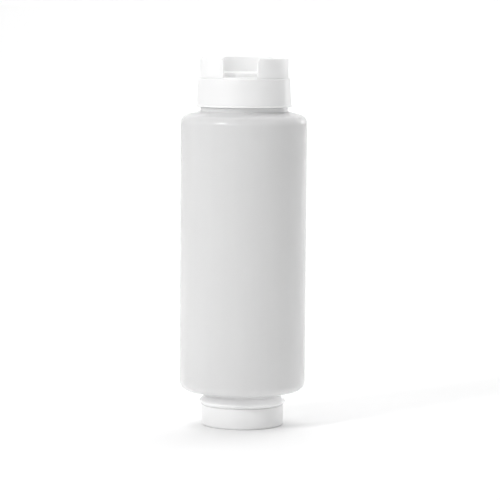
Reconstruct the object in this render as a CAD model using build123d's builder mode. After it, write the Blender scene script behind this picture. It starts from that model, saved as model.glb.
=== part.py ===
from build123d import *
import os
from math import cos, radians, tan

# An inverted squeeze bottle for condiments. It stands on its dispensing end, is squeezed in
# the middle and is refilled from the top, so the oldest sauce always leaves first. The
# blow-moulded body has a threaded neck at each end. The refill cap closes the wide upper neck
# and the dispensing cap, with its slit valve, closes the lower one. A plain cover slips over
# the dispensing cap and is the foot that the bottle stands on.
#
# Millimetres. +Z is up and is the axis of every turned shape. The origin is the middle of the
# foot's standing face. The front, where one gap of the refill cap's crown opens, faces -Y.

# ---- Driving dimensions -------------------------------------------------------------------

body_diameter = 82.5
body_wall = 1.1
body_bottom_z = 23.2
body_corner_radius = 5.7
body_upper_corner_z = 198.4  # centre of the upper corner's arc
shoulder_slope = 15.0  # degrees, from the upper corner in to the neck
inner_blend_radius = 1.5

thread_pitch = 25.4 / 6  # six threads to the inch, as on continuous-thread closures
thread_depth = 1.2
thread_base = 2.4  # its width at the wall
thread_crest = 1.0
thread_bite = 0.5  # how far a ridge is sunk into the wall that carries it
thread_clearance = 0.3

refill_neck_bore_radius = 25.1
refill_neck_radius = 27.0
refill_neck_top_z = 226.3
refill_collar_radius = 28.4
refill_collar_top_z = 209.2
refill_collar_blend = 1.0
refill_thread_start_z = 212.6
refill_neck_turns = 2.0
refill_cap_turns = 1.75

dispensing_neck_bore_radius = 20.2
dispensing_neck_radius = 22.1
dispensing_neck_end_z = 4.2
dispensing_thread_start_z = 6.3
dispensing_neck_turns = 1.15
dispensing_cap_turns = 0.75

bead_radius = 28.15
bead_bottom_z = 13.7  # just above the cover's rim, and as wide as it there
bead_nose_z = 15.4
bead_shoulder_z = 16.2
bead_top_z = 19.4
bead_nose_radius = 1.0
bead_edge_radius = 0.8
throat_radius = 24.7  # outside of the neck between the bead and the body
throat_wall = 1.3

cap_skirt_bottom_z = 209.4
cap_skirt_top_z = 228.1
cap_skirt_bottom_radius = 30.8
cap_skirt_top_radius = 29.8
cap_skirt_edge_radius = 0.8
cap_lip_width = 0.35
cap_lip_height = 0.9
crown_top_z = 241.0
crown_radius = 28.75
crown_wall = 1.35
crown_gap_count = 3
crown_gap_angle = 45.0  # degrees
lug_corner_radius = 2.6
deck_thickness = 1.6
plateau_radius = 18.5
plateau_height = 3.0
plug_wall = 1.2
plug_length = 4.3
plug_clearance = 0.3
liner_thickness = 0.8
liner_edge_gap = 0.15

cover_radius = 27.05
cover_height = 13.5
cover_wall = 1.45
cover_recess = 0.5
cover_recess_radius = 22.5
cover_edge_radius = 1.6

gasket_thickness = 0.7
gasket_inner_radius = 17.5
gasket_outer_radius = 23.3
dispensing_deck_thickness = 1.4
dispensing_cap_wall = 1.2
dispensing_cap_edge_radius = 0.6
dispensing_cap_gap = 0.3  # left between the cap's rim and the cover's
grip_rib_count = 60
grip_rib_height = 0.35
grip_rib_width = 1.0

valve_hole_radius = 8.5
valve_flange_radius = 14.0
valve_flange_thickness = 1.7
valve_sleeve_radius = 8.9
valve_sleeve_wall = 0.7
valve_head_thickness = 0.9
valve_head_z = 6.6  # outer face of the head
leaf_square = 7.6  # side of the square that the four leaves fill
leaf_tip_gap = 0.12  # from the axis to each leaf's tip
leaf_root_gap = 0.05  # between a leaf's root and the head
leaf_relief = 22.0  # degrees; the sides lean in, so that the leaves swing clear of each other

retainer_inner_radius = 10.2
retainer_outer_radius = 15.3
retainer_thickness = 1.8
retainer_edge = 0.4
seat_gap = 0.1
seat_wall = 1.1
seat_height = 5.0

# ---- Derived dimensions -------------------------------------------------------------------

body_radius = body_diameter / 2
inner_radius = body_radius - body_wall
inner_corner_radius = body_corner_radius - body_wall
shoulder_drop = tan(radians(shoulder_slope))
shoulder_wall = body_wall / cos(radians(shoulder_slope))
# The sloping shoulder is tangent to the upper corner's arc; this is its height on the axis.
shoulder_apex_z = (
    body_upper_corner_z
    + (body_radius - body_corner_radius) * shoulder_drop
    + body_corner_radius / cos(radians(shoulder_slope))
)

refill_root_radius = refill_neck_radius + thread_depth + thread_clearance
refill_deck_under_z = refill_neck_top_z + liner_thickness
refill_deck_top_z = refill_deck_under_z + deck_thickness
plateau_top_z = refill_deck_top_z + plateau_height
crown_inner_radius = crown_radius - crown_wall
plug_radius = refill_neck_bore_radius - plug_clearance

dispensing_root_radius = dispensing_neck_radius + thread_depth + thread_clearance
dispensing_cap_radius = dispensing_root_radius + dispensing_cap_wall
dispensing_deck_in_z = dispensing_neck_end_z - gasket_thickness
dispensing_deck_out_z = dispensing_deck_in_z - dispensing_deck_thickness
dispensing_cap_rim_z = cover_height - dispensing_cap_gap
cover_inner_radius = cover_radius - cover_wall
seat_radius = retainer_outer_radius + seat_gap
valve_flange_top_z = dispensing_deck_in_z + valve_flange_thickness


# ---- Helpers ------------------------------------------------------------------------------


def shoulder_z(radius):
    """Height of the outside of the sloping shoulder at a radius."""
    return shoulder_apex_z - radius * shoulder_drop


def section(points, rounds=()):
    """Closed outline of (radius, height) points in the XZ plane. rounds pairs a corner and a radius."""
    with BuildSketch(Plane.XZ) as outline:
        with BuildLine():
            Polyline(*points, close=True)
        make_face()
        for corner, radius in rounds:
            fillet(outline.vertices().sort_by_distance(Vector(*corner))[0], radius)
    return outline.sketch


def thread_ridge(radius, depth, start_z, turns):
    """Right-hand thread ridge that starts at +X. A negative depth makes it stand inward."""
    bite = -thread_bite if depth > 0 else thread_bite
    flank = (thread_base - thread_crest) / 2
    bite_half_width = thread_base / 2 + flank * thread_bite / thread_depth
    with BuildPart() as ridge:
        with BuildLine() as helix:
            Helix(thread_pitch, thread_pitch * turns, radius, center=(0, 0, start_z))
        start = helix.line @ 0
        along = helix.line % 0
        with BuildSketch(Plane(origin=start, x_dir=(1, 0, 0), z_dir=along)):
            with BuildLine():
                Polyline(
                    (bite, -bite_half_width),
                    (depth, -thread_crest / 2),
                    (depth, thread_crest / 2),
                    (bite, bite_half_width),
                    close=True,
                )
            make_face()
        sweep(path=helix.line, is_frenet=True)
    return ridge.part


os.makedirs("parts", exist_ok=True)

# ---- Bottle body --------------------------------------------------------------------------

throat_inner_radius = throat_radius - throat_wall
body_points = [
    (dispensing_neck_bore_radius, dispensing_neck_end_z),
    (dispensing_neck_radius, dispensing_neck_end_z),
    (dispensing_neck_radius, bead_bottom_z),
    (cover_radius, bead_bottom_z),
    (bead_radius, bead_nose_z),
    (bead_radius, bead_shoulder_z),
    (throat_radius, bead_top_z),
    (throat_radius, body_bottom_z),
    (body_radius, body_bottom_z),
    (body_radius, shoulder_z(body_radius)),
    (refill_collar_radius, shoulder_z(refill_collar_radius)),
    (refill_collar_radius, refill_collar_top_z),
    (refill_neck_radius, refill_collar_top_z),
    (refill_neck_radius, refill_neck_top_z),
    (refill_neck_bore_radius, refill_neck_top_z),
    (refill_neck_bore_radius, shoulder_z(refill_neck_bore_radius) - shoulder_wall),
    (inner_radius, shoulder_z(inner_radius) - shoulder_wall),
    (inner_radius, body_bottom_z + body_wall),
    (throat_inner_radius, body_bottom_z + body_wall),
    (throat_inner_radius, bead_shoulder_z),
    (dispensing_neck_bore_radius, bead_bottom_z - body_wall),
]
body_rounds = [
    ((bead_radius, bead_nose_z), bead_nose_radius),
    ((bead_radius, bead_shoulder_z), bead_edge_radius),
    ((throat_radius, body_bottom_z), bead_edge_radius),
    ((body_radius, body_bottom_z), body_corner_radius),
    ((body_radius, shoulder_z(body_radius)), body_corner_radius),
    ((refill_collar_radius, shoulder_z(refill_collar_radius)), refill_collar_blend),
    ((refill_neck_bore_radius, shoulder_z(refill_neck_bore_radius) - shoulder_wall), inner_blend_radius),
    ((inner_radius, shoulder_z(inner_radius) - shoulder_wall), inner_corner_radius),
    ((inner_radius, body_bottom_z + body_wall), inner_corner_radius),
    ((throat_inner_radius, body_bottom_z + body_wall), inner_blend_radius),
]
with BuildPart() as bottle_body:
    add(section(body_points, body_rounds))
    revolve(axis=Axis.Z)
    add(thread_ridge(refill_neck_radius, thread_depth, refill_thread_start_z, refill_neck_turns))
    add(
        thread_ridge(
            dispensing_neck_radius, thread_depth, dispensing_thread_start_z, dispensing_neck_turns
        )
    )
bottle_body.part.label = "bottle_body"
export_step(bottle_body.part, "parts/bottle_body.step")

# ---- Refill cap: skirt, crown of three lugs, raised deck and plug seal ---------------------

lip_radius = cap_skirt_bottom_radius + cap_lip_width
lip_top_z = cap_skirt_bottom_z + cap_lip_height
plateau_under_radius = plateau_radius - deck_thickness
plug_inner_radius = plug_radius - plug_wall
plug_end_z = refill_deck_under_z - plug_length
refill_cap_points = [
    (0, plateau_top_z),
    (plateau_radius, plateau_top_z),
    (plateau_radius, refill_deck_top_z),
    (crown_inner_radius, refill_deck_top_z),
    (crown_inner_radius, crown_top_z),
    (crown_radius, crown_top_z),
    (crown_radius, cap_skirt_top_z),
    (cap_skirt_top_radius, cap_skirt_top_z),
    (cap_skirt_bottom_radius, lip_top_z + cap_lip_width),
    (lip_radius, lip_top_z),
    (lip_radius, cap_skirt_bottom_z),
    (refill_root_radius, cap_skirt_bottom_z),
    (refill_root_radius, refill_deck_under_z),
    (plug_radius, refill_deck_under_z),
    (plug_radius, plug_end_z),
    (plug_inner_radius, plug_end_z),
    (plug_inner_radius, refill_deck_under_z),
    (plateau_under_radius, refill_deck_under_z),
    (plateau_under_radius, plateau_top_z - deck_thickness),
    (0, plateau_top_z - deck_thickness),
]
refill_cap_rounds = [
    ((cap_skirt_top_radius, cap_skirt_top_z), cap_skirt_edge_radius),
    ((plateau_radius, plateau_top_z), cap_skirt_edge_radius),
    ((plateau_radius, refill_deck_top_z), cap_skirt_edge_radius),
]
with BuildPart() as refill_cap:
    add(section(refill_cap_points, refill_cap_rounds))
    revolve(axis=Axis.Z)
    with BuildSketch(Plane.XY.offset(refill_deck_top_z)):
        gap_reach = 2 * crown_radius
        gap_half_width = gap_reach * tan(radians(crown_gap_angle / 2))
        gap_outline = [(0, 0), (gap_reach, -gap_half_width), (gap_reach, gap_half_width)]
        with PolarLocations(0, crown_gap_count, start_angle=-90):
            Polygon(*gap_outline, align=None)
        Circle(crown_inner_radius - crown_wall, mode=Mode.SUBTRACT)
    extrude(amount=crown_top_z - refill_deck_top_z, mode=Mode.SUBTRACT)
    top_edges = refill_cap.edges().filter_by(GeomType.LINE).group_by(Axis.Z)[-1]
    fillet(top_edges, lug_corner_radius)
    add(
        thread_ridge(
            refill_root_radius,
            -thread_depth,
            refill_thread_start_z + thread_pitch / 2,
            refill_cap_turns,
        )
    )
refill_cap.part.label = "refill_cap"
export_step(refill_cap.part, "parts/refill_cap.step")

# ---- Refill cap liner ---------------------------------------------------------------------

with BuildPart() as refill_cap_liner:
    with BuildSketch(Plane.XY.offset(refill_neck_top_z)):
        Circle(refill_root_radius - liner_edge_gap)
        Circle(plug_radius + liner_edge_gap, mode=Mode.SUBTRACT)
    extrude(amount=liner_thickness)
refill_cap_liner.part.label = "refill_cap_liner"
export_step(refill_cap_liner.part, "parts/refill_cap_liner.step")

# ---- Dispensing cap: ribbed skirt, valve hole and the seat that holds the valve ------------

seat_top_z = dispensing_deck_in_z + seat_height
dispensing_cap_points = [
    (valve_hole_radius, dispensing_deck_out_z),
    (dispensing_cap_radius, dispensing_deck_out_z),
    (dispensing_cap_radius, dispensing_cap_rim_z),
    (dispensing_root_radius, dispensing_cap_rim_z),
    (dispensing_root_radius, dispensing_deck_in_z),
    (seat_radius + seat_wall, dispensing_deck_in_z),
    (seat_radius + seat_wall, seat_top_z),
    (seat_radius, seat_top_z),
    (seat_radius, dispensing_deck_in_z),
    (valve_hole_radius, dispensing_deck_in_z),
]
dispensing_cap_rounds = [
    ((dispensing_cap_radius, dispensing_deck_out_z), dispensing_cap_edge_radius),
    ((valve_hole_radius, dispensing_deck_out_z), dispensing_cap_edge_radius),
]
rib_bottom_z = dispensing_deck_out_z + dispensing_cap_edge_radius
with BuildPart() as dispensing_cap:
    add(section(dispensing_cap_points, dispensing_cap_rounds))
    revolve(axis=Axis.Z)
    with BuildSketch(Plane.XY.offset(rib_bottom_z)):
        with PolarLocations(dispensing_cap_radius, grip_rib_count):
            Rectangle(2 * grip_rib_height, grip_rib_width)
    extrude(amount=dispensing_cap_rim_z - rib_bottom_z)
    add(
        thread_ridge(
            dispensing_root_radius,
            -thread_depth,
            dispensing_thread_start_z + thread_pitch / 2,
            dispensing_cap_turns,
        )
    )
dispensing_cap.part.label = "dispensing_cap"
export_step(dispensing_cap.part, "parts/dispensing_cap.step")

# ---- Dispensing gasket --------------------------------------------------------------------

with BuildPart() as dispensing_gasket:
    with BuildSketch(Plane.XY.offset(dispensing_deck_in_z)):
        Circle(gasket_outer_radius)
        Circle(gasket_inner_radius, mode=Mode.SUBTRACT)
    extrude(amount=gasket_thickness)
dispensing_gasket.part.label = "dispensing_gasket"
export_step(dispensing_gasket.part, "parts/dispensing_gasket.step")

# ---- Slit valve: flange, sleeve and head, with a square window for its four leaves ----------

valve_head_top_z = valve_head_z + valve_head_thickness
valve_bore_radius = valve_sleeve_radius - valve_sleeve_wall
valve_points = [
    (0, valve_head_z),
    (valve_bore_radius, valve_head_z),
    (valve_bore_radius, dispensing_deck_in_z),
    (valve_flange_radius, dispensing_deck_in_z),
    (valve_flange_radius, valve_flange_top_z),
    (valve_sleeve_radius, valve_flange_top_z),
    (valve_sleeve_radius, valve_head_top_z),
    (0, valve_head_top_z),
]
with BuildPart() as valve:
    add(section(valve_points, [((valve_sleeve_radius, valve_head_top_z), valve_sleeve_wall)]))
    revolve(axis=Axis.Z)
    with BuildSketch(Plane.XY.offset(valve_head_z)):
        Rectangle(leaf_square, leaf_square)
    extrude(amount=valve_head_thickness, mode=Mode.SUBTRACT)
valve.part.label = "valve"
export_step(valve.part, "parts/valve.step")

# Each leaf is a triangle with its root along one side of the square and its tip by the axis.
leaf_root = leaf_square / 2 - leaf_root_gap
leaf_half_root = leaf_root - leaf_tip_gap
for leaf_side, leaf_angle in [("front", -90), ("right", 0), ("back", 90), ("left", 180)]:
    with BuildPart() as valve_leaf:
        with BuildSketch(Plane.XY.offset(valve_head_z).rotated((0, 0, leaf_angle))):
            Polygon(
                (leaf_root, -leaf_half_root),
                (leaf_root, leaf_half_root),
                (leaf_tip_gap, 0),
                align=None,
            )
        extrude(amount=valve_head_thickness, taper=leaf_relief)
    valve_leaf.part.label = f"valve_leaf_{leaf_side}"
    export_step(valve_leaf.part, f"parts/valve_leaf_{leaf_side}.step")

# ---- Valve retainer -----------------------------------------------------------------------

with BuildPart() as valve_retainer:
    with BuildSketch(Plane.XY.offset(valve_flange_top_z)):
        Circle(retainer_outer_radius)
        Circle(retainer_inner_radius, mode=Mode.SUBTRACT)
    extrude(amount=retainer_thickness)
    chamfer(valve_retainer.edges().group_by(Axis.Z)[-1], retainer_edge)
valve_retainer.part.label = "valve_retainer"
export_step(valve_retainer.part, "parts/valve_retainer.step")

# ---- Cover, which is the foot --------------------------------------------------------------

cover_points = [
    (0, cover_recess),
    (cover_recess_radius, cover_recess),
    (cover_recess_radius, 0),
    (cover_radius, 0),
    (cover_radius, cover_height),
    (cover_inner_radius, cover_height),
    (cover_inner_radius, dispensing_deck_out_z),
    (0, dispensing_deck_out_z),
]
with BuildPart() as dispensing_cover:
    add(section(cover_points, [((cover_radius, 0), cover_edge_radius)]))
    revolve(axis=Axis.Z)
dispensing_cover.part.label = "dispensing_cover"
export_step(dispensing_cover.part, "parts/dispensing_cover.step")
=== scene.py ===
from math import atan2, cos, pi, radians, sin, tan

import bmesh
import bpy
from bpy.props import (
    FloatProperty,
    FloatVectorProperty,
    IntProperty,
    PointerProperty,
    StringProperty,
)
from mathutils import Matrix, Vector


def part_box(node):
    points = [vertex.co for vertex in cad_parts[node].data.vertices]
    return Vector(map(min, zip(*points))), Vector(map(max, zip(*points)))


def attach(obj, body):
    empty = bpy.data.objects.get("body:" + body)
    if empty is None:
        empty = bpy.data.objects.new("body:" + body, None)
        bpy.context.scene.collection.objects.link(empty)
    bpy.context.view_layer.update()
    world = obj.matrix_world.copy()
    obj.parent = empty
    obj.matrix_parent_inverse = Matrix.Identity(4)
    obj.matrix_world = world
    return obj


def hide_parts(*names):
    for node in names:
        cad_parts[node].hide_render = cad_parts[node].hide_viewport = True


bl_info = {
    "name": "Inverted Squeeze Bottle",
    "version": (1, 0, 0),
    "blender": (4, 5, 0),
    "location": "View3D > Sidebar > Squeeze Bottle",
    "description": "Blow-moulded condiment bottle with a refill cap on top and a slit valve below",
    "category": "Add Mesh",
}

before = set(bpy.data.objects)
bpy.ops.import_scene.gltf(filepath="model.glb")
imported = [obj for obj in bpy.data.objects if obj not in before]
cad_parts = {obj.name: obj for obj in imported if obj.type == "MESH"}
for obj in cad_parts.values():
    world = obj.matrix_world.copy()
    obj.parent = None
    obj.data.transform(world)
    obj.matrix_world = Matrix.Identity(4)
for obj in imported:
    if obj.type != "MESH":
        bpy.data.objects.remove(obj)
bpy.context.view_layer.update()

# The bottle stands on its dispensing end, on the Z axis. Metres; MM turns millimetres to metres.
MM = 0.001
FULL_TURN = 2 * pi
TURN_STEPS = 144  # spin steps of a turned piece, 2.5 degrees each
SMALL_TURN_STEPS = 72  # spin steps of the valve
THREAD_STEPS = 96  # steps in one turn of a thread
FADE_STEPS = THREAD_STEPS // 12  # steps over which a thread fades into the wall
ARC_STEP = 0.25 * MM  # length of one step round a rounded corner
RIB_PITCH = 5  # spin steps to a grip rib and its gap
SHARP_ANGLE = radians(32)  # edges that turn more than this stay sharp in the shading
MERGE = 0.001 * MM  # points closer than this are one point
NEAR = 0.01 * MM  # a face closer than this lies on the surface that is looked for

# The mark that the mould's gate leaves in the middle of a cap.
GATE_RADIUS = 1.4 * MM
GATE_DEPTH = 0.3 * MM
GATE_ROUNDING = 0.2 * MM

# The studio floor, which sweeps up into a wall.
FLOOR_HALF_WIDTH = 4.0
FLOOR_REACH = 3.0
WALL_HEIGHT = 4.0
SWEEP_RADIUS = 1.2
SWEEP_STEPS = 24


def top_of(node):
    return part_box(node)[1].z


def bottom_of(node):
    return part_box(node)[0].z


def radius_of(node):
    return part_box(node)[1].y


# ---- Sizes and finishes that a user would change --------------------------------------------


def length(name, description, default):
    return FloatProperty(
        name=name, description=description, default=default, min=0.0, unit="LENGTH"
    )


def swing(name, description, degrees):
    return FloatProperty(
        name=name, description=description, default=radians(degrees), unit="ROTATION"
    )


def hex_colour(name, description, default):
    return StringProperty(name=name, description=description, default=default)


class BottleSizes(bpy.types.PropertyGroup):
    """Sizes of the blow-moulded body and its two necks"""

    radius: length("Radius", "Outside radius of the body", radius_of("bottle_body"))
    wall: length("Wall", "Thickness of the body's wall", 1.1 * MM)
    bottom: length("Bottom", "Height of the body's underside", 23.2 * MM)
    upper_corner: length("Upper corner", "Height of the upper corner's centre", 198.4 * MM)
    corner: length("Corner", "Radius of the body's two corners", 5.7 * MM)
    shoulder_slope: swing("Shoulder slope", "Slope of the shoulder towards the neck", 15.0)
    collar: length("Collar", "Radius of the plain neck under the refill cap", 28.4 * MM)
    collar_top: length("Collar top", "Height of the top of the plain neck", 209.2 * MM)
    refill_neck: length("Refill neck", "Radius of the upper neck under its thread", 27.0 * MM)
    refill_bore: length("Refill bore", "Inside radius of the upper neck", 25.1 * MM)
    refill_thread: length("Refill thread", "Height where the upper thread starts", 212.6 * MM)
    refill_turns: FloatProperty(name="Refill turns", description="Turns of thread", default=2.0)
    neck: length("Dispensing neck", "Radius of the lower neck under its thread", 22.1 * MM)
    bore: length("Dispensing bore", "Inside radius of the lower neck", 20.2 * MM)
    thread: length("Dispensing thread", "Height where the lower thread starts", 6.3 * MM)
    turns: FloatProperty(name="Dispensing turns", description="Turns of thread", default=1.15)
    bead: length("Bead", "Radius of the support bead on the lower neck", 28.15 * MM)
    bead_bottom: length("Bead bottom", "Height of the bead's underside", 13.7 * MM)
    bead_nose: length("Bead nose", "Height where the bead is widest", 15.4 * MM)
    bead_shoulder: length("Bead shoulder", "Height where the bead starts to taper", 16.2 * MM)
    bead_top: length("Bead top", "Height where the bead meets the throat", 19.4 * MM)
    throat: length("Throat", "Radius of the neck between bead and body", 24.7 * MM)
    throat_wall: length("Throat wall", "Thickness of the throat's wall", 1.3 * MM)
    seam_height: length("Seam height", "How far the mould's parting line stands out", 0.06 * MM)
    seam_angle: swing("Seam angle", "Where the parting line is, from +X towards +Y", -20.0)


class ThreadSizes(bpy.types.PropertyGroup):
    """Sizes of the screw threads, which are the same on both necks"""

    pitch: length("Pitch", "Rise of the thread in one turn", 25.4 / 6 * MM)
    depth: length("Depth", "How far a ridge stands out", 1.2 * MM)
    base: length("Base", "Width of a ridge at the wall", 2.4 * MM)
    crest: length("Crest", "Width of a ridge at its crest", 1.0 * MM)
    rounding: length("Rounding", "Rounding of a ridge's crest", 0.25 * MM)
    bite: length("Bite", "How far a ridge is sunk in its wall", 0.3 * MM)
    clearance: length("Clearance", "Gap between a crest and the wall that it faces", 0.3 * MM)


class RefillCapSizes(bpy.types.PropertyGroup):
    """Sizes of the upper cap and its crown"""

    skirt_top: length("Skirt top", "Height of the ledge around the crown", 228.1 * MM)
    skirt_top_radius: length("Skirt top radius", "Radius of the skirt at the ledge", 29.8 * MM)
    skirt_radius: length("Skirt radius", "Radius of the skirt above its lip", 30.8 * MM)
    lip_height: length("Lip height", "Height of the flared lip", 0.9 * MM)
    crown_radius: length("Crown radius", "Outside radius of the lugs", 28.75 * MM)
    crown_wall: length("Crown wall", "Thickness of the lugs", 1.35 * MM)
    lug_corner: length("Lug corner", "Radius of the lugs' upper corners", 2.6 * MM)
    lugs: IntProperty(name="Lugs", description="Number of lugs in the crown", default=3, min=1)
    gap: swing("Gap", "Angle that each gap between two lugs covers", 45.0)
    deck: length("Deck", "Thickness of the deck", 1.6 * MM)
    plateau_radius: length("Plateau radius", "Radius of the raised middle", 18.5 * MM)
    plateau_height: length("Plateau height", "Height of the raised middle", 3.0 * MM)
    plug_wall: length("Plug wall", "Thickness of the plug seal", 1.2 * MM)
    plug_length: length("Plug length", "How far the plug reaches into the neck", 4.3 * MM)
    liner_gap: length("Liner gap", "Gap between the plug and the liner", 0.15 * MM)
    turns: FloatProperty(name="Turns", description="Turns of thread in the cap", default=1.75)
    edge: length("Edge", "Rounding of the moulded edges", 0.3 * MM)


class DispensingSizes(bpy.types.PropertyGroup):
    """Sizes of the lower cap, the valve that it holds and the cover over it"""

    wall: length("Cap wall", "Thickness of the cap's skirt", 1.2 * MM)
    deck: length("Cap deck", "Thickness of the cap's deck", 1.4 * MM)
    ribs: IntProperty(name="Grip ribs", description="Ribs around the skirt", default=60, min=3)
    rib_height: length("Rib height", "How far a grip rib stands out", 0.35 * MM)
    rib_edge: length("Rib edge", "Rounding of a grip rib's edges", 0.12 * MM)
    hole: length("Hole", "Radius of the hole under the valve", 8.5 * MM)
    seat_wall: length("Seat wall", "Thickness of the ring that holds the retainer", 1.1 * MM)
    seat_height: length("Seat height", "Height of that ring", 5.0 * MM)
    seat_gap: length("Seat gap", "Gap between the ring and the retainer", 0.1 * MM)
    retainer_bore: length("Retainer bore", "Inside radius of the retainer", 10.2 * MM)
    gasket_bore: length("Gasket bore", "Inside radius of the gasket", 17.5 * MM)
    gasket_gap: length("Gasket gap", "Clearance between the gasket and the deck", 0.03 * MM)
    sleeve_wall: length("Sleeve wall", "Thickness of the valve's sleeve", 0.7 * MM)
    sleeve_radius: length("Sleeve radius", "Outside radius of the valve's sleeve", 8.9 * MM)
    flange: length("Flange", "Thickness of the valve's flange", 1.7 * MM)
    window: length("Window", "Side of the square that the leaves close", 7.6 * MM)
    leaf_lean: swing("Leaf lean", "How much the leaves' sides lean in, to swing clear", 23.5)
    leaf_slit: length("Leaf slit", "Clearance on each side of a slit", 0.03 * MM)
    turns: FloatProperty(name="Turns", description="Turns of thread in the cap", default=0.75)
    cover_wall: length("Cover wall", "Thickness of the cover's side", 1.45 * MM)
    cover_recess: length("Cover recess", "How far the middle of the foot is raised", 0.5 * MM)
    cover_ring: length("Cover ring", "Inside radius of the ring that it stands on", 22.5 * MM)
    cover_edge: length("Cover edge", "Rounding of the foot's outer edge", 1.6 * MM)
    edge: length("Edge", "Rounding of the small edges", 0.2 * MM)


class Finishes(bpy.types.PropertyGroup):
    """Colours of the plastics, as sRGB hex"""

    ldpe: hex_colour("Body", "Natural low-density polyethylene", "#FEFEFE")
    ldpe_thin: hex_colour("Body, thin", "The same where the wall is thinner", "#FAFAFB")
    polypropylene: hex_colour("Caps", "White polypropylene", "#F0F0F0")
    silicone: hex_colour("Valve", "Milky silicone", "#E6E9EB")
    foam: hex_colour("Liners", "Polyethylene foam", "#F3F2EE")
    floor: hex_colour("Floor", "Pale studio floor", "#FAFAFA")


class StageSettings(bpy.types.PropertyGroup):
    """Where the camera and the lights stand, and how strong the lights are"""

    camera_distance: length("Camera distance", "From the bottle's axis, over the floor", 1.6974)
    camera_height: length("Camera height", "Height of the camera over the floor", 0.2835)
    camera_turn: swing("Camera turn", "How far round to the right of the front it stands", 5.65)
    camera_aim: swing("Camera aim", "How far to the right of the axis it looks", 0.151)
    camera_pitch: swing("Camera pitch", "How far it looks down", 5.662)
    camera_roll: swing("Camera roll", "How far it leans", 0.413)
    camera_lens: FloatProperty(
        name="Lens", description="Focal length in millimetres", default=187.2
    )
    key_from: FloatVectorProperty(
        name="Key", description="Place of the key light", default=(-1.6, -1.85, 1.65), unit="LENGTH"
    )
    key_size: length("Key size", "Side of the key softbox", 0.5)
    key_power: FloatProperty(name="Key power", description="Watts", default=28.0, unit="POWER")
    rim_from: FloatVectorProperty(
        name="Rim", description="Place of the rim light", default=(1.5, 1.8, 0.8), unit="LENGTH"
    )
    rim_size: length("Rim size", "Side of the rim softbox", 1.0)
    rim_power: FloatProperty(name="Rim power", description="Watts", default=8.0, unit="POWER")
    fill_from: FloatVectorProperty(
        name="Fill", description="Place of the fill light", default=(0.0, -2.3, 0.2), unit="LENGTH"
    )
    fill_size: length("Fill size", "Side of the fill softbox", 1.2)
    fill_power: FloatProperty(name="Fill power", description="Watts", default=5.0, unit="POWER")
    top_from: FloatVectorProperty(
        name="Top", description="Place of the top light", default=(-0.3, -0.4, 2.2), unit="LENGTH"
    )
    top_size: length("Top size", "Side of the top softbox", 1.0)
    top_power: FloatProperty(name="Top power", description="Watts", default=7.0, unit="POWER")
    back_from: FloatVectorProperty(
        name="Back", description="Place of the back light", default=(0.0, 1.3, 2.5), unit="LENGTH"
    )
    back_size: length("Back size", "Side of the back softbox", 3.0)
    back_power: FloatProperty(name="Back power", description="Watts", default=50.0, unit="POWER")
    room_walls: FloatProperty(name="Room walls", description="Light from all round", default=0.57)
    room_ceiling: FloatProperty(name="Room ceiling", description="Light from above", default=0.25)


# ---- Mesh helpers ---------------------------------------------------------------------------


def round_corner(bm, corner, radius):
    """Rounds one corner of an outline made of loose edges, in short steps of an arc."""
    before, after = [edge.other_vert(corner).co - corner.co for edge in corner.link_edges]
    half_angle = before.angle(after) / 2
    turn = pi - 2 * half_angle
    segments = max(2, min(12, round(radius * turn / ARC_STEP)))
    bmesh.ops.bevel(
        bm,
        geom=[corner],
        offset=radius / tan(half_angle),
        offset_type="OFFSET",
        segments=segments,
        profile=0.5,
        affect="VERTICES",
        material=-1,
    )


def turned(outline, steps=TURN_STEPS):
    """Shape turned round the Z axis from an outline of (radius, height, rounding).

    The outline is closed, unless both its ends are on the axis.
    """
    bm = bmesh.new()
    corners = [bm.verts.new((radius, 0.0, height)) for radius, height, _ in outline]
    ends_on_axis = outline[0][0] == 0.0 and outline[-1][0] == 0.0
    links = list(zip(corners, corners[1:]))
    if not ends_on_axis:
        links.append((corners[-1], corners[0]))
    for link in links:
        bm.edges.new(link)
    for corner, (_, _, rounding) in zip(corners, outline):
        if rounding:
            round_corner(bm, corner, rounding)
    bmesh.ops.spin(
        bm,
        geom=bm.verts[:] + bm.edges[:],
        cent=(0, 0, 0),
        axis=(0, 0, 1),
        dvec=(0, 0, 0),
        angle=FULL_TURN,
        steps=steps,
        use_merge=True,
        use_duplicate=False,
    )
    bmesh.ops.remove_doubles(bm, verts=bm.verts, dist=MERGE)
    bmesh.ops.recalc_face_normals(bm, faces=bm.faces)
    return bm


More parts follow.
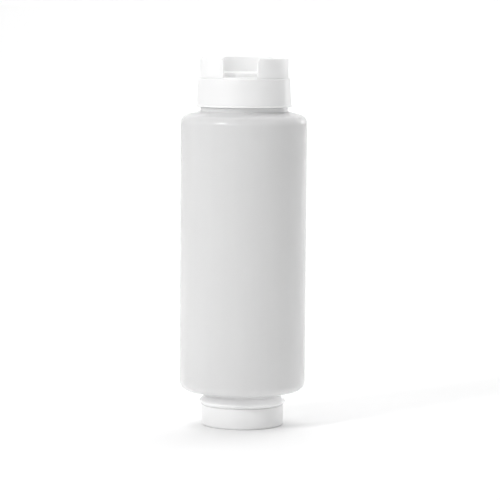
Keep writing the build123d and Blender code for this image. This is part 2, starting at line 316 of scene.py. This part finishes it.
def thread(t, radius, depth, start, turns):
    """Right-hand thread ridge that starts at +X. Its ends fade into the wall.

    A negative depth makes a ridge that points inward.
    """
    side = 1 if depth > 0 else -1
    bite = side * t.bite
    bm = bmesh.new()
    section = [
        (radius - bite, -t.base / 2),
        (radius, -t.base / 2),
        (radius + depth, -t.crest / 2),
        (radius + depth, t.crest / 2),
        (radius, t.base / 2),
        (radius - bite, t.base / 2),
    ]
    first = [bm.verts.new((r, 0.0, start + z)) for r, z in section]
    for a, b in zip(first, first[1:] + first[:1]):
        bm.edges.new((a, b))
    for corner in (first[2], first[3]):
        round_corner(bm, corner, t.rounding)
    steps = round(turns * THREAD_STEPS)
    step_angle = FULL_TURN * turns / steps
    edges = bm.edges[:]
    rings = [list({vert for edge in edges for vert in edge.verts})]
    for _ in range(steps):
        made = bmesh.ops.extrude_edge_only(bm, edges=edges)["geom"]
        verts = [item for item in made if isinstance(item, bmesh.types.BMVert)]
        edges = [item for item in made if isinstance(item, bmesh.types.BMEdge)]
        edges = [edge for edge in edges if all(vert in verts for vert in edge.verts)]
        bmesh.ops.rotate(
            bm, verts=verts, cent=(0, 0, 0), matrix=Matrix.Rotation(step_angle, 3, "Z")
        )
        bmesh.ops.translate(bm, verts=verts, vec=(0, 0, t.pitch * turns / steps))
        rings.append(verts)
    bmesh.ops.holes_fill(bm, edges=[edge for edge in bm.edges if edge.is_boundary], sides=0)
    for number, ring in enumerate(rings):
        near_end = min(number, steps - number, FADE_STEPS) / FADE_STEPS
        share = sin(near_end * pi / 2)
        for vert in ring:
            distance = vert.co.xy.length
            faded = radius - bite + (distance - radius + bite) * share
            vert.co.x *= faded / distance
            vert.co.y *= faded / distance
    bmesh.ops.recalc_face_normals(bm, faces=bm.faces)
    return bm


def add_piece(bm, name, body, material, nodes=()):
    """Makes the piece, gives it its finish and tells the frame which body carries it."""
    mesh = bpy.data.meshes.new(name)
    for face in bm.faces:
        face.smooth = True
    bm.to_mesh(mesh)
    bm.free()
    mesh.set_sharp_from_angle(angle=SHARP_ANGLE)
    mesh.materials.append(material)
    piece = bpy.data.objects.new(name, mesh)
    bpy.context.scene.collection.objects.link(piece)
    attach(piece, body)
    if nodes:
        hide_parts(*nodes)
    return piece


def united(base, addition):
    """One closed shape out of two that overlap."""
    objects = []
    for bm in (base, addition):
        mesh = bpy.data.meshes.new("shape")
        bm.to_mesh(mesh)
        bm.free()
        made = bpy.data.objects.new("shape", mesh)
        bpy.context.scene.collection.objects.link(made)
        objects.append(made)
    union = objects[0].modifiers.new("union", "BOOLEAN")
    union.operation = "UNION"
    union.solver = "EXACT"
    union.object = objects[1]
    depsgraph = bpy.context.evaluated_depsgraph_get()
    whole = bmesh.new()
    whole.from_object(objects[0], depsgraph)
    for made in objects:
        mesh = made.data
        bpy.data.objects.remove(made)
        bpy.data.meshes.remove(mesh)
    return whole


# ---- Materials ------------------------------------------------------------------------------


def linear(hex_code):
    """Linear RGBA of an sRGB hex colour."""
    channels = [int(hex_code[i : i + 2], 16) / 255 for i in (1, 3, 5)]
    return [c / 12.92 if c <= 0.04045 else ((c + 0.055) / 1.055) ** 2.4 for c in channels] + [1.0]


def add_node(owner, kind, settings, links):
    """Adds a shader node. Settings give inputs their values, links give them output sockets."""
    tree = owner.node_tree
    made = tree.nodes.new(kind)
    for key, value in settings.items():
        made.inputs[key].default_value = value
    for key, socket in links.items():
        tree.links.new(socket, made.inputs[key])
    return made


def plastic(name, colour, settings):
    """A principled plastic. Returns the material, its shader and its Object coordinates."""
    material = bpy.data.materials.new(name)
    material.use_nodes = True
    shader = material.node_tree.nodes["Principled BSDF"]
    shader.inputs["Base Color"].default_value = linear(colour)
    for key, value in settings.items():
        shader.inputs[key].default_value = value
    place = add_node(material, "ShaderNodeTexCoord", {}, {}).outputs["Object"]
    return material, shader, place


def scattering(depth):
    """Settings of a milky plastic, which light enters this deep before it comes out again."""
    return {
        "Subsurface Weight": 1.0,
        "Subsurface Radius": (depth, depth, depth),
        "Subsurface Scale": 1.0,
    }


def moulded_skin(material, shader, place, grain, height, flow, rough_low, rough_high):
    """Bump and gloss of a moulded skin: a fine grain, and gloss that changes along the flow.

    Returns the pattern of the flow, from 0 to 1.
    """
    tree = material.node_tree
    fine = add_node(
        material, "ShaderNodeTexNoise", {"Scale": 1 / grain, "Detail": 2.0}, {"Vector": place}
    )
    along = add_node(material, "ShaderNodeMapping", {"Scale": flow}, {"Vector": place})
    slow = add_node(
        material,
        "ShaderNodeTexNoise",
        {"Scale": 1.0, "Detail": 2.0},
        {"Vector": along.outputs["Vector"]},
    )
    gloss = add_node(
        material,
        "ShaderNodeMapRange",
        {"To Min": rough_low, "To Max": rough_high},
        {"Value": slow.outputs["Fac"]},
    )
    tree.links.new(gloss.outputs["Result"], shader.inputs["Roughness"])
    bump = add_node(
        material,
        "ShaderNodeBump",
        {"Strength": 1.0, "Distance": height},
        {"Height": fine.outputs["Fac"]},
    )
    tree.links.new(bump.outputs["Normal"], shader.inputs["Normal"])
    return slow.outputs["Fac"]


def natural_ldpe(finishes):
    # Blow-moulded natural LDPE: milky and translucent, so light that enters the wall comes out
    # soft on both sides. The skin is satin from the sand-blasted mould, and the wall is a little
    # milkier along the die lines, which run up the body about 7 mm apart.
    material, shader, place = plastic(
        "Natural LDPE, blow-moulded",
        finishes.ldpe,
        {"IOR": 1.51, **scattering(4 * MM)},
    )
    die_lines = moulded_skin(
        material,
        shader,
        place,
        grain=0.8 * MM,
        height=0.01 * MM,
        flow=(1 / (7 * MM), 1 / (7 * MM), 1 / (160 * MM)),
        rough_low=0.22,
        rough_high=0.26,
    )
    milk = add_node(
        material,
        "ShaderNodeMixRGB",
        {"Color1": linear(finishes.ldpe), "Color2": linear(finishes.ldpe_thin)},
        {"Fac": die_lines},
    )
    material.node_tree.links.new(milk.outputs["Color"], shader.inputs["Base Color"])
    return material


def white_polypropylene(finishes):
    # Injection-moulded polypropylene, white with titanium dioxide: opaque, with light that goes
    # about 1 mm in, which softens thin edges, and a satin gloss that varies over about 20 mm.
    material, shader, place = plastic(
        "White polypropylene, injection-moulded",
        finishes.polypropylene,
        {"IOR": 1.49, **scattering(1 * MM)},
    )
    moulded_skin(
        material,
        shader,
        place,
        grain=0.5 * MM,
        height=0.006 * MM,
        flow=(1 / (20 * MM),) * 3,
        rough_low=0.33,
        rough_high=0.4,
    )
    return material


def milky_silicone(finishes):
    # Liquid silicone rubber: milky, soft to light, with a slightly tacky satin skin.
    material, shader, place = plastic(
        "Silicone rubber, moulded",
        finishes.silicone,
        {"IOR": 1.41, **scattering(2 * MM)},
    )
    moulded_skin(
        material,
        shader,
        place,
        grain=0.4 * MM,
        height=0.01 * MM,
        flow=(1 / (6 * MM),) * 3,
        rough_low=0.38,
        rough_high=0.5,
    )
    return material


def polyethylene_foam(finishes):
    # Closed-cell polyethylene foam, cut from sheet: matt, with open cells of about 0.4 mm.
    material, shader, place = plastic(
        "Polyethylene foam, closed-cell", finishes.foam, {"IOR": 1.5, "Roughness": 0.85}
    )
    cells = add_node(
        material, "ShaderNodeTexVoronoi", {"Scale": 1 / (0.4 * MM)}, {"Vector": place}
    )
    bump = add_node(
        material,
        "ShaderNodeBump",
        {"Strength": 1.0, "Distance": 0.08 * MM},
        {"Height": cells.outputs["Distance"]},
    )
    material.node_tree.links.new(bump.outputs["Normal"], shader.inputs["Normal"])
    return material


def studio_paper(finishes):
    # Matt white studio paper: almost no gloss, with a faint tooth. The real tooth is under 1 mm,
    # and it is drawn at 3 mm so that it shows.
    material, shader, place = plastic(
        "Studio paper", finishes.floor, {"Roughness": 0.9, "Specular IOR Level": 0.2}
    )
    tooth = add_node(
        material, "ShaderNodeTexNoise", {"Scale": 1 / (3 * MM), "Detail": 2.0}, {"Vector": place}
    )
    bump = add_node(
        material,
        "ShaderNodeBump",
        {"Strength": 0.5, "Distance": 0.02 * MM},
        {"Height": tooth.outputs["Fac"]},
    )
    material.node_tree.links.new(bump.outputs["Normal"], shader.inputs["Normal"])
    return material


made_materials = {}


def finish(make):
    """The material that this function makes, made once."""
    if make not in made_materials:
        made_materials[make] = make(bpy.context.scene.bottle_finishes)
    return made_materials[make]


# ---- Shapes of the pieces -------------------------------------------------------------------


def gate_mark(surface, depth):
    """Start of an outline: the gate's round mark in the middle of a face, sunk this deep in it."""
    return [
        (0.0, surface + depth, 0.0),
        (GATE_RADIUS, surface + depth, GATE_ROUNDING),
        (GATE_RADIUS + GATE_DEPTH, surface, GATE_ROUNDING),
    ]


def cap_bore(neck, t):
    """Radius at the root of a cap's inside thread, which clears the ridges on the neck."""
    return neck + t.depth + t.clearance


def body_shape(s):
    """The body: one wall from the lower rim out to the upper rim and back inside."""
    slope = tan(s.shoulder_slope)
    slant = cos(s.shoulder_slope)
    apex = s.upper_corner + (s.radius - s.corner) * slope + s.corner / slant
    inner = s.radius - s.wall
    inner_corner = s.corner - s.wall
    inner_bottom = s.bottom + s.wall
    inner_throat = s.throat - s.throat_wall

    def shoulder(radius):
        return apex - radius * slope

    def inner_shoulder(radius):
        return shoulder(radius) - s.wall / slant

    rim, foot = top_of("bottle_body"), bottom_of("bottle_body")
    outline = [
        (s.bore, foot, 0.3 * MM),
        (s.neck, foot, 0.3 * MM),
        (s.neck, s.bead_bottom, 0.4 * MM),
        (radius_of("dispensing_cover"), s.bead_bottom, 0.2 * MM),
        (s.bead, s.bead_nose, 1.0 * MM),
        (s.bead, s.bead_shoulder, 0.8 * MM),
        (s.throat, s.bead_top, 0.6 * MM),
        (s.throat, s.bottom, 0.8 * MM),
        (s.radius, s.bottom, s.corner),
        (s.radius, shoulder(s.radius), s.corner),
        (s.collar, shoulder(s.collar), 1.0 * MM),
        (s.collar, s.collar_top, 0.4 * MM),
        (s.refill_neck, s.collar_top, 0.3 * MM),
        (s.refill_neck, rim, 0.35 * MM),
        (s.refill_bore, rim, 0.35 * MM),
        (s.refill_bore, inner_shoulder(s.refill_bore), 1.5 * MM),
        (inner, inner_shoulder(inner), inner_corner),
        (inner, inner_bottom, inner_corner),
        (inner_throat, inner_bottom, 1.5 * MM),
        (inner_throat, s.bead_shoulder, 1.0 * MM),
        (s.bore, s.bead_bottom - s.wall, 1.0 * MM),
    ]
    return turned(outline)


def add_parting_line(bm, s):
    """Raises the thin line that the two halves of the mould leave along both sides of the body."""
    across = Vector((-sin(s.seam_angle), cos(s.seam_angle), 0.0))
    half_width = 0.25 * MM
    for offset in (-half_width, 0.0, half_width):
        bmesh.ops.bisect_plane(
            bm,
            geom=bm.verts[:] + bm.edges[:] + bm.faces[:],
            dist=MERGE / 10,
            plane_co=across * offset,
            plane_no=across,
        )
    bm.normal_update()
    for vert in bm.verts:
        outward = Vector((vert.co.x, vert.co.y, 0.0)).normalized()
        on_line = abs(vert.co.dot(across)) < MERGE
        on_body = s.bottom + s.corner < vert.co.z < s.upper_corner + s.corner
        if on_line and on_body and vert.normal.dot(outward) > 0:
            vert.co += vert.normal * s.seam_height


def refill_cap_shape(s, t, bottle):
    """The refill cap's skirt, deck and plug, with the lugs drawn up out of the deck's rim."""
    skirt_bottom, crown_top = bottom_of("refill_cap"), top_of("refill_cap")
    lip_radius = radius_of("refill_cap")
    root = cap_bore(bottle.refill_neck, t)
    deck_under = top_of("refill_cap_liner")
    deck_top = deck_under + s.deck
    plateau_top = deck_top + s.plateau_height
    under_radius = s.plateau_radius - s.deck
    plug = bottle.refill_bore - t.clearance
    plug_inner = plug - s.plug_wall
    plug_end = deck_under - s.plug_length
    lip_top = skirt_bottom + s.lip_height
    outline = gate_mark(plateau_top, -GATE_DEPTH) + [
        (s.plateau_radius, plateau_top, 0.8 * MM),
        (s.plateau_radius, deck_top, 0.8 * MM),
        (s.crown_radius - s.crown_wall, deck_top, 0.0),
        (s.crown_radius, deck_top, 0.0),
        (s.crown_radius, s.skirt_top, 0.25 * MM),
        (s.skirt_top_radius, s.skirt_top, 0.8 * MM),
        (s.skirt_radius, lip_top + lip_radius - s.skirt_radius, 0.5 * MM),
        (lip_radius, lip_top, 0.25 * MM),
        (lip_radius, skirt_bottom, s.edge),
        (root, skirt_bottom, s.edge),
        (root, deck_under, 0.5 * MM),
        (plug, deck_under, 0.3 * MM),
        (plug, plug_end, 0.4 * MM),
        (plug_inner, plug_end, 0.4 * MM),
        (plug_inner, deck_under, 0.4 * MM),
        (under_radius, deck_under, 0.5 * MM),
        (under_radius, plateau_top - s.deck, 0.5 * MM),
        (0.0, plateau_top - s.deck, 0.0),
    ]
    bm = turned(outline, steps=2 * TURN_STEPS)

    pitch = FULL_TURN / s.lugs

    def past_gap(point):
        """Distance along the rim from the nearest gap, negative inside it. One is in front."""
        angle = (atan2(point.y, point.x) + pi / 2 + pitch / 2) % pitch - pitch / 2
        return (abs(angle) - s.gap / 2) * s.crown_radius

    rim_radius = s.crown_radius - s.crown_wall / 2
    lug_faces = []
    for face in bm.faces:
        centre = face.calc_center_median()
        on_rim = abs(centre.xy.length - rim_radius) < s.crown_wall / 4
        if on_rim and abs(centre.z - deck_top) < NEAR and past_gap(centre) > 0:
            lug_faces.append(face)
    raised = bmesh.ops.extrude_face_region(bm, geom=lug_faces)["geom"]
    bmesh.ops.delete(bm, geom=lug_faces, context="FACES_ONLY")
    for vert in (item for item in raised if isinstance(item, bmesh.types.BMVert)):
        vert.co.z = crown_top
        short = s.lug_corner - max(0.0, past_gap(vert.co))
        if short > 0:
            vert.co.z -= s.lug_corner - (s.lug_corner**2 - short**2) ** 0.5
    bm.normal_update()
    edges = [
        edge
        for edge in bm.edges
        if max(vert.co.z for vert in edge.verts) > deck_top + s.plateau_height / 2
        and min(vert.co.xy.length for vert in edge.verts) > s.plateau_radius + s.crown_wall
        and edge.calc_face_angle(0.0) > SHARP_ANGLE
    ]
    bmesh.ops.bevel(
        bm,
        geom=edges,
        offset=s.edge,
        offset_type="OFFSET",
        segments=3,
        profile=0.5,
        affect="EDGES",
        material=-1,
    )
    return bm


def dispensing_cap_shape(s, t, bottle):
    """The dispensing cap: a ribbed skirt, a deck with the valve's hole and the retainer's seat."""
    deck_out, rim = bottom_of("dispensing_cap"), top_of("dispensing_cap")
    deck_in = deck_out + s.deck
    root = cap_bore(bottle.neck, t)
    skirt = root + s.wall
    seat = radius_of("valve_retainer") + s.seat_gap
    seat_top = deck_in + s.seat_height
    outline = [
        (s.hole, deck_out, 0.6 * MM),
        (skirt, deck_out, 0.6 * MM),
        (skirt, rim, s.edge),
        (root, rim, s.edge),
        (root, deck_in, 0.4 * MM),
        (seat + s.seat_wall, deck_in, 0.3 * MM),
        (seat + s.seat_wall, seat_top, 0.3 * MM),
        (seat, seat_top, 0.3 * MM),
        (seat, deck_in, 0.0),
        (s.hole, deck_in, 0.15 * MM),
    ]
    steps = RIB_PITCH * s.ribs
    bm = turned(outline, steps=steps)
    step_angle = FULL_TURN / steps
    smallest = step_angle * skirt * s.deck  # leaves out the faces of the skirt's rounded edges
    rib_faces = []
    for face in bm.faces:
        centre = face.calc_center_median()
        angle = atan2(centre.y, centre.x) / step_angle
        from_rib = (angle + RIB_PITCH / 2) % RIB_PITCH - RIB_PITCH / 2
        on_skirt = centre.xy.length > skirt - NEAR and face.calc_area() > smallest
        if on_skirt and abs(from_rib) < 1:  # one step on each side of the rib's middle
            rib_faces.append(face)
    raised = bmesh.ops.extrude_face_region(bm, geom=rib_faces)["geom"]
    bmesh.ops.delete(bm, geom=rib_faces, context="FACES_ONLY")
    grown = (skirt + s.rib_height) / skirt
    for vert in (item for item in raised if isinstance(item, bmesh.types.BMVert)):
        vert.co.x *= grown
        vert.co.y *= grown
    bm.normal_update()
    edges = [
        edge
        for edge in bm.edges
        if min(vert.co.xy.length for vert in edge.verts) > skirt + s.rib_height / 2
        and edge.calc_face_angle(0.0) > SHARP_ANGLE
    ]
    bmesh.ops.bevel(
        bm,
        geom=edges,
        offset=s.rib_edge,
        offset_type="OFFSET",
        segments=2,
        profile=0.5,
        affect="EDGES",
        material=-1,
    )
    return bm


def valve_shape(s):
    """The valve's flange, sleeve and head, with a square window that the leaves close."""
    foot, crown = bottom_of("valve"), top_of("valve")
    leaf_low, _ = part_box("valve_leaf_front")
    bore = s.sleeve_radius - s.sleeve_wall
    ring = s.window * 0.8  # a round hole just outside the square
    outline = [
        (ring, leaf_low.z, 0.0),
        (bore, leaf_low.z, 0.3 * MM),
        (bore, foot, 0.2 * MM),
        (radius_of("valve"), foot, 0.2 * MM),
        (radius_of("valve"), foot + s.flange, 0.4 * MM),
        (s.sleeve_radius, foot + s.flange, 0.3 * MM),
        (s.sleeve_radius, crown, s.sleeve_wall),
        (ring, crown, 0.0),
    ]
    bm = turned(outline, steps=SMALL_TURN_STEPS)
    wall = [
        face
        for face in bm.faces
        if abs(face.calc_center_median().xy.length - ring) < NEAR
    ]
    bmesh.ops.delete(bm, geom=wall, context="FACES")
    open_edges = [edge for edge in bm.edges if edge.is_boundary]
    made = bmesh.ops.extrude_edge_only(bm, edges=open_edges)["geom"]
    for vert in (item for item in made if isinstance(item, bmesh.types.BMVert)):
        square = s.window / 2 / max(abs(vert.co.x), abs(vert.co.y))
        vert.co.x *= square
        vert.co.y *= square
    bmesh.ops.bridge_loops(bm, edges=[edge for edge in bm.edges if edge.is_boundary])
    bmesh.ops.recalc_face_normals(bm, faces=bm.faces)
    return bm


def leaf_shape(node, side_angle, lean, slit):
    """One leaf of the valve: a triangle drawn at +X, then turned to its side of the square.

    Its sides lean in towards the inner face, and its slits are open by the given clearance.
    """
    low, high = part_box(node)
    thickness = high.z - low.z
    along = Matrix.Rotation(-side_angle, 3, "Z")
    reach = sorted(abs(value) for value in ((along @ low).x, (along @ high).x))
    half_root = max(abs((along @ low).y), abs((along @ high).y)) - slit
    bm = bmesh.new()
    corners = [(reach[1], -half_root), (reach[1], half_root), (reach[0] + slit, 0.0)]
    outer = bm.faces.new([bm.verts.new((x, y, low.z)) for x, y in corners])
    inner = bmesh.ops.duplicate(bm, geom=[outer])["geom"]
    inner_face = next(item for item in inner if isinstance(item, bmesh.types.BMFace))
    bmesh.ops.inset_individual(
        bm,
        faces=[inner_face],
        thickness=thickness * tan(lean),
        depth=thickness,
        use_even_offset=True,
    )
    bmesh.ops.remove_doubles(bm, verts=bm.verts, dist=MERGE)
    bmesh.ops.recalc_face_normals(bm, faces=bm.faces)
    bmesh.ops.bevel(
        bm,
        geom=bm.edges[:],
        offset=0.05 * MM,
        offset_type="OFFSET",
        segments=2,
        profile=0.5,
        affect="EDGES",
        material=-1,
    )
    bmesh.ops.rotate(
        bm, verts=bm.verts, cent=(0, 0, 0), matrix=Matrix.Rotation(side_angle, 3, "Z")
    )
    return bm


def ring_shape(node, bore, rounding, gap_below=0.0):
    """A flat ring that fills its CAD node's box, with rounded edges and a gap below if given."""
    low, high = bottom_of(node) + gap_below, top_of(node)
    outer = radius_of(node)
    return turned(
        [
            (bore, low, rounding),
            (outer, low, rounding),
            (outer, high, rounding),
            (bore, high, rounding),
        ]
    )


def cover_shape(s):
    """The cover: a cup whose underside is raised inside the ring that the bottle stands on."""
    foot, rim = bottom_of("dispensing_cover"), top_of("dispensing_cover")
    floor = bottom_of("dispensing_cap")
    outer = radius_of("dispensing_cover")
    inner = outer - s.cover_wall
    recess = foot + s.cover_recess
    outline = gate_mark(recess, GATE_DEPTH) + [
        (s.cover_ring, recess, 0.25 * MM),
        (s.cover_ring, foot, 0.2 * MM),
        (outer, foot, s.cover_edge),
        (outer, rim, 0.3 * MM),
        (inner, rim, 0.3 * MM),
        (inner, floor, 0.8 * MM),
        (0.0, floor, 0.0),
    ]
    return turned(outline)


# ---- Stage ----------------------------------------------------------------------------------


def add_backdrop():
    """A pale floor that sweeps up into a wall behind the bottle."""
    bm = bmesh.new()
    corners = [(-FLOOR_REACH, 0.0), (FLOOR_REACH, 0.0), (FLOOR_REACH, WALL_HEIGHT)]
    verts = [bm.verts.new((-FLOOR_HALF_WIDTH, y, z)) for y, z in corners]
    for link in zip(verts, verts[1:]):
        bm.edges.new(link)
    bmesh.ops.bevel(
        bm,
        geom=[verts[1]],
        offset=SWEEP_RADIUS,
        offset_type="OFFSET",
        segments=SWEEP_STEPS,
        profile=0.5,
        affect="VERTICES",
        material=-1,
    )
    made = bmesh.ops.extrude_edge_only(bm, edges=bm.edges[:])["geom"]
    verts = [item for item in made if isinstance(item, bmesh.types.BMVert)]
    bmesh.ops.translate(bm, verts=verts, vec=(2 * FLOOR_HALF_WIDTH, 0.0, 0.0))
    bmesh.ops.recalc_face_normals(bm, faces=bm.faces)
    mesh = bpy.data.meshes.new("studio_floor")
    for face in bm.faces:
        face.smooth = True
    bm.to_mesh(mesh)
    bm.free()
    mesh.materials.append(finish(studio_paper))
    floor = bpy.data.objects.new("studio_floor", mesh)
    bpy.context.scene.collection.objects.link(floor)


def add_light(stage, name, shows_in_gloss):
    """A square softbox that faces the middle of the bottle. It can be kept out of reflections."""
    lamp = bpy.data.lights.new(f"{name}_softbox", "AREA")
    lamp.size = getattr(stage, f"{name}_size")
    lamp.energy = getattr(stage, f"{name}_power")
    made = bpy.data.objects.new(lamp.name, lamp)
    made.location = getattr(stage, f"{name}_from")
    middle = Vector((0.0, 0.0, top_of("refill_cap") / 2))
    made.rotation_euler = (middle - made.location).to_track_quat("-Z", "Y").to_euler()
    made.visible_glossy = shows_in_gloss
    bpy.context.scene.collection.objects.link(made)


def add_camera(stage):
    """A long lens a little above the bottle, looking slightly down."""
    lens = bpy.data.cameras.new("camera")
    lens.lens = stage.camera_lens
    camera = bpy.data.objects.new("camera", lens)
    stand = Matrix.Rotation(stage.camera_turn, 4, "Z")
    place = Vector((0.0, -stage.camera_distance, stage.camera_height))
    look = (
        Matrix.Rotation(-stage.camera_aim, 4, "Z")
        @ Matrix.Rotation(pi / 2 - stage.camera_pitch, 4, "X")
        @ Matrix.Rotation(stage.camera_roll, 4, "Z")
    )
    camera.matrix_world = stand @ Matrix.Translation(place) @ look
    bpy.context.scene.collection.objects.link(camera)
    bpy.context.scene.camera = camera


# ---- Operators ------------------------------------------------------------------------------


class AddBottleBody(bpy.types.Operator):
    """Adds the blow-moulded body with the thread of both necks"""

    bl_idname = "squeeze_bottle.add_body"
    bl_label = "Bottle Body"

    def execute(self, context):
        s, t = context.scene.bottle_sizes, context.scene.bottle_threads
        body = body_shape(s)
        add_parting_line(body, s)
        upper = thread(t, s.refill_neck, t.depth, s.refill_thread, s.refill_turns)
        lower = thread(t, s.neck, t.depth, s.thread, s.turns)
        shape = united(united(body, upper), lower)
        add_piece(
            shape, "bottle_shell", "bottle", finish(natural_ldpe), ["bottle_body"]
        )
        return {"FINISHED"}


class AddRefillCap(bpy.types.Operator):
    """Adds the refill cap with its crown of lugs, and the liner inside it"""

    bl_idname = "squeeze_bottle.add_refill_cap"
    bl_label = "Refill Cap"

    def execute(self, context):
        scene = context.scene
        s, t, bottle = scene.bottle_refill_cap, scene.bottle_threads, scene.bottle_sizes
        cap = refill_cap_shape(s, t, bottle)
        root = cap_bore(bottle.refill_neck, t)
        ridge = thread(t, root, -t.depth, bottle.refill_thread + t.pitch / 2, s.turns)
        add_piece(
            united(cap, ridge),
            "refill_cap_shell",
            "refill_cap",
            finish(white_polypropylene),
            ["refill_cap"],
        )
        bore = bottle.refill_bore - t.clearance + s.liner_gap
        add_piece(
            ring_shape("refill_cap_liner", bore, 0.15 * MM),
            "refill_liner_ring",
            "refill_liner",
            finish(polyethylene_foam),
            ["refill_cap_liner"],
        )
        return {"FINISHED"}


class AddDispensingCap(bpy.types.Operator):
    """Adds the dispensing cap with its grip ribs, and the gasket inside it"""

    bl_idname = "squeeze_bottle.add_dispensing_cap"
    bl_label = "Dispensing Cap"

    def execute(self, context):
        scene = context.scene
        s, t, bottle = scene.bottle_dispensing, scene.bottle_threads, scene.bottle_sizes
        cap = dispensing_cap_shape(s, t, bottle)
        root = cap_bore(bottle.neck, t)
        ridge = thread(t, root, -t.depth, bottle.thread + t.pitch / 2, s.turns)
        add_piece(
            united(cap, ridge),
            "dispensing_cap_shell",
            "dispensing_cap",
            finish(white_polypropylene),
            ["dispensing_cap"],
        )
        add_piece(
            ring_shape("dispensing_gasket", s.gasket_bore, 0.12 * MM, s.gasket_gap),
            "dispensing_gasket_ring",
            "gasket",
            finish(polyethylene_foam),
            ["dispensing_gasket"],
        )
        return {"FINISHED"}


class AddValve(bpy.types.Operator):
    """Adds the slit valve, its four leaves and the ring that holds it"""

    bl_idname = "squeeze_bottle.add_valve"
    bl_label = "Slit Valve"

    def execute(self, context):
        s = context.scene.bottle_dispensing
        silicone = finish(milky_silicone)
        add_piece(
            valve_shape(s), "valve_skirt", "dispensing_cap", silicone, ["valve"]
        )
        for quarter, side in enumerate(("right", "back", "left", "front")):
            node = f"valve_leaf_{side}"
            shape = leaf_shape(node, quarter * pi / 2, s.leaf_lean, s.leaf_slit)
            add_piece(shape, f"leaf_{side}", node, silicone, [node])
        add_piece(
            ring_shape("valve_retainer", s.retainer_bore, 0.35 * MM),
            "retainer_ring",
            "dispensing_cap",
            finish(white_polypropylene),
            ["valve_retainer"],
        )
        return {"FINISHED"}


class AddCover(bpy.types.Operator):
    """Adds the cover that the bottle stands on"""

    bl_idname = "squeeze_bottle.add_cover"
    bl_label = "Cover"

    def execute(self, context):
        add_piece(
            cover_shape(context.scene.bottle_dispensing),
            "cover_cup",
            "cover",
            finish(white_polypropylene),
            ["dispensing_cover"],
        )
        return {"FINISHED"}


class AddStage(bpy.types.Operator):
    """Adds the pale floor with its curved backdrop, the soft lights and the camera"""

    bl_idname = "squeeze_bottle.add_stage"
    bl_label = "Stage"

    def execute(self, context):
        stage = context.scene.bottle_stage
        add_backdrop()
        for name in ("key", "rim"):
            add_light(stage, name, shows_in_gloss=True)
        for name in ("fill", "top", "back"):
            add_light(stage, name, shows_in_gloss=False)
        world = bpy.data.worlds.new("Soft room light")
        world.use_nodes = True
        background = world.node_tree.nodes["Background"]
        background.inputs["Color"].default_value = (1.0, 1.0, 1.0, 1.0)
        direction = add_node(world, "ShaderNodeTexCoord", {}, {}).outputs["Generated"]
        heading = add_node(world, "ShaderNodeSeparateXYZ", {}, {"Vector": direction})
        strength = add_node(
            world,
            "ShaderNodeMapRange",
            {"To Min": stage.room_walls, "To Max": stage.room_ceiling},
            {"Value": heading.outputs["Z"]},
        )
        world.node_tree.links.new(strength.outputs["Result"], background.inputs["Strength"])
        context.scene.world = world
        context.scene.view_settings.view_transform = "Standard"
        add_camera(stage)
        return {"FINISHED"}


class BottlePanel(bpy.types.Panel):
    """Buttons that add the bottle's pieces, and its sizes"""

    bl_idname = "VIEW3D_PT_squeeze_bottle"
    bl_label = "Squeeze Bottle"
    bl_space_type = "VIEW_3D"
    bl_region_type = "UI"
    bl_category = "Squeeze Bottle"

    def draw(self, context):
        for operator in OPERATORS:
            self.layout.operator(operator.bl_idname)
        for group in GROUPS:
            box = self.layout.box()
            values = getattr(context.scene, group)
            for name in values.__annotations__:
                box.prop(values, name)


OPERATORS = (AddBottleBody, AddRefillCap, AddDispensingCap, AddValve, AddCover, AddStage)
GROUPS = {
    "bottle_sizes": BottleSizes,
    "bottle_threads": ThreadSizes,
    "bottle_refill_cap": RefillCapSizes,
    "bottle_dispensing": DispensingSizes,
    "bottle_finishes": Finishes,
    "bottle_stage": StageSettings,
}


def register():
    for kind in (*GROUPS.values(), *OPERATORS, BottlePanel):
        bpy.utils.register_class(kind)
    for name, kind in GROUPS.items():
        setattr(bpy.types.Scene, name, PointerProperty(type=kind))


def unregister():
    for name in GROUPS:
        delattr(bpy.types.Scene, name)
    for kind in reversed((*GROUPS.values(), *OPERATORS, BottlePanel)):
        bpy.utils.unregister_class(kind)


def main():
    register()
    bpy.ops.squeeze_bottle.add_body()
    bpy.ops.squeeze_bottle.add_refill_cap()
    bpy.ops.squeeze_bottle.add_dispensing_cap()
    bpy.ops.squeeze_bottle.add_valve()
    bpy.ops.squeeze_bottle.add_cover()
    bpy.ops.squeeze_bottle.add_stage()
    bpy.context.view_layer.update()


if __name__ == "__main__":
    main()
